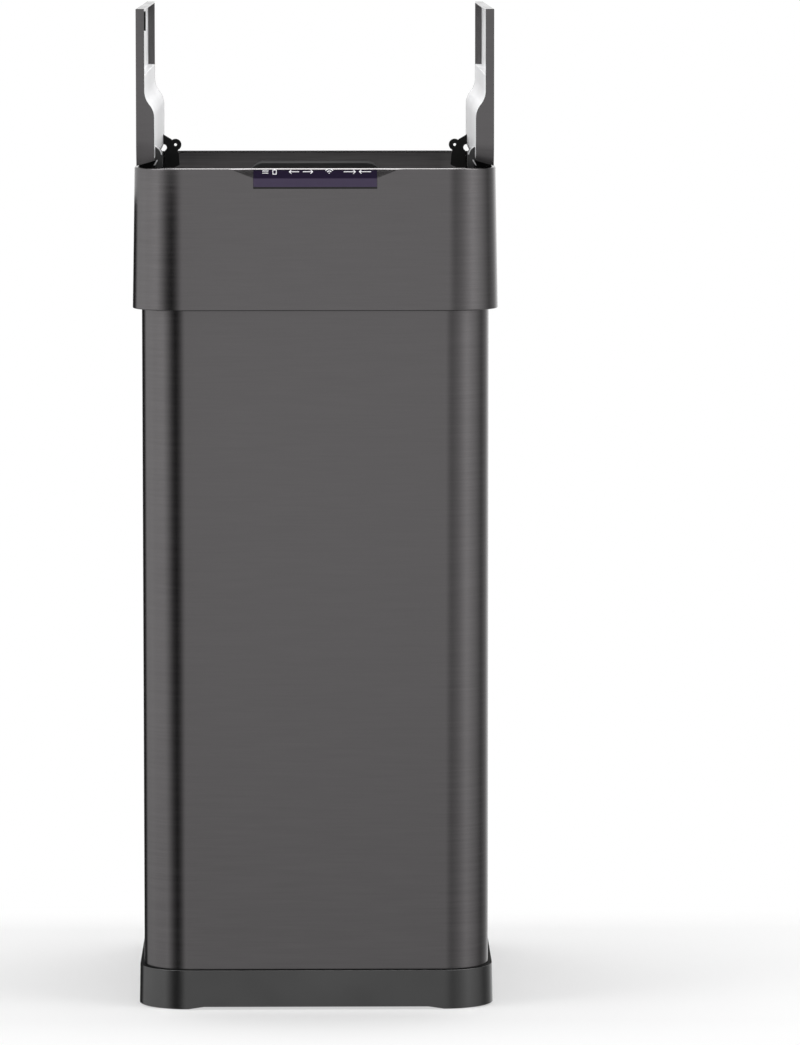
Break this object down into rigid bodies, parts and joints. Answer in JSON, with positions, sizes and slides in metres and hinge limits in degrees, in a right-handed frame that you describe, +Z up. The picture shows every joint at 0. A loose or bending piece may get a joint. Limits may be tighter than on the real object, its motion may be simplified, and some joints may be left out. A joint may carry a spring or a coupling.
{
  "type": "automatic trash can",
  "caption": "Free-standing automatic kitchen bin: rectangular steel body on a moulded base, with a lift-off sensor head whose wing lids swing up to the sides.",
  "frame": {"origin": "on the floor under the middle of the bin", "axes": "+Z up, front and console towards -Y, +X to the right as seen from the front"},
  "size_m": [0.2996, 0.3565, 0.822],
  "materials": {
    "base_plastic": "fine grain",
    "black_plastic": "satin",
    "bright_steel": "polished",
    "bronze": "sintered",
    "cell_jacket": "gloss",
    "circuit_board": "solder mask",
    "dark_steel": "brushed black stainless",
    "frame_plastic": "fine grain",
    "grey_plastic": "satin",
    "motor_case": "satin",
    "pan_steel": "satin black",
    "rubber": "matte",
    "sensor_lens": "gloss",
    "smoked_window": "smoked gloss",
    "tray_plastic": "satin"
  },
  "bodies": {
    "can": {"base_ring": "base_plastic", "foot_pads": "rubber", "body_shell": "dark_steel", "floor_pan": "pan_steel", "floor_rivets": "bright_steel", "top_collar": "frame_plastic"},
    "head": {"head_shell": "dark_steel", "head_frame": "frame_plastic", "console_window": "smoked_window", "console_bezel": "black_plastic", "sensor_board": "circuit_board", "ir_sensors": "sensor_lens", "battery_tray": "black_plastic", "battery_cells": "cell_jacket", "battery_contacts": "bright_steel", "socket_plate": "black_plastic", "dc_inlet": "black_plastic", "control_board": "circuit_board", "rear_hinge_bushes": "bronze", "front_hinge_bushes": "bronze", "left_gearmotor": "motor_case", "right_gearmotor": "motor_case"},
    "battery_door": {"battery_door": "base_plastic"},
    "power_rocker": {"power_rocker": "black_plastic"},
    "left_wing": {"left_wing_skin": "dark_steel", "left_wing_tray": "tray_plastic", "left_drive_arm": "black_plastic", "left_idler_arm": "grey_plastic", "left_drive_shaft": "bright_steel", "left_idler_pin": "bright_steel", "left_wing_screws": "bright_steel", "left_wing_bumper": "rubber"},
    "right_wing": {"right_wing_skin": "dark_steel", "right_wing_tray": "tray_plastic", "right_drive_arm": "black_plastic", "right_idler_arm": "grey_plastic", "right_drive_shaft": "bright_steel", "right_idler_pin": "bright_steel", "right_wing_screws": "bright_steel"}
  },
  "joints": [
    {"name": "head_lift", "type": "slide", "parent": "can", "child": "head", "axis": [0, 0, 1], "range_m": [0, 0.08]},
    {"name": "left_wing_hinge", "type": "hinge", "parent": "head", "child": "left_wing", "pos_m": [-0.1381, 0, 0.6849], "axis": [0, 1, 0], "range_deg": [0, 90]},
    {"name": "right_wing_hinge", "type": "hinge", "parent": "head", "child": "right_wing", "pos_m": [0.1381, 0, 0.6849], "axis": [0, -1, 0], "range_deg": [0, 90]},
    {"name": "battery_door_pull", "type": "slide", "parent": "head", "child": "battery_door", "axis": [0, 1, 0], "range_m": [0, 0.03]},
    {"name": "power_rocker_tilt", "type": "hinge", "parent": "head", "child": "power_rocker", "pos_m": [0.073, 0.17206, 0.6428], "axis": [1, 0, 0], "range_deg": [0, 14]}
  ],
  "couplings": [
    {"joint": "right_wing_hinge", "follows": "left_wing_hinge", "ratio": 1}
  ]
}
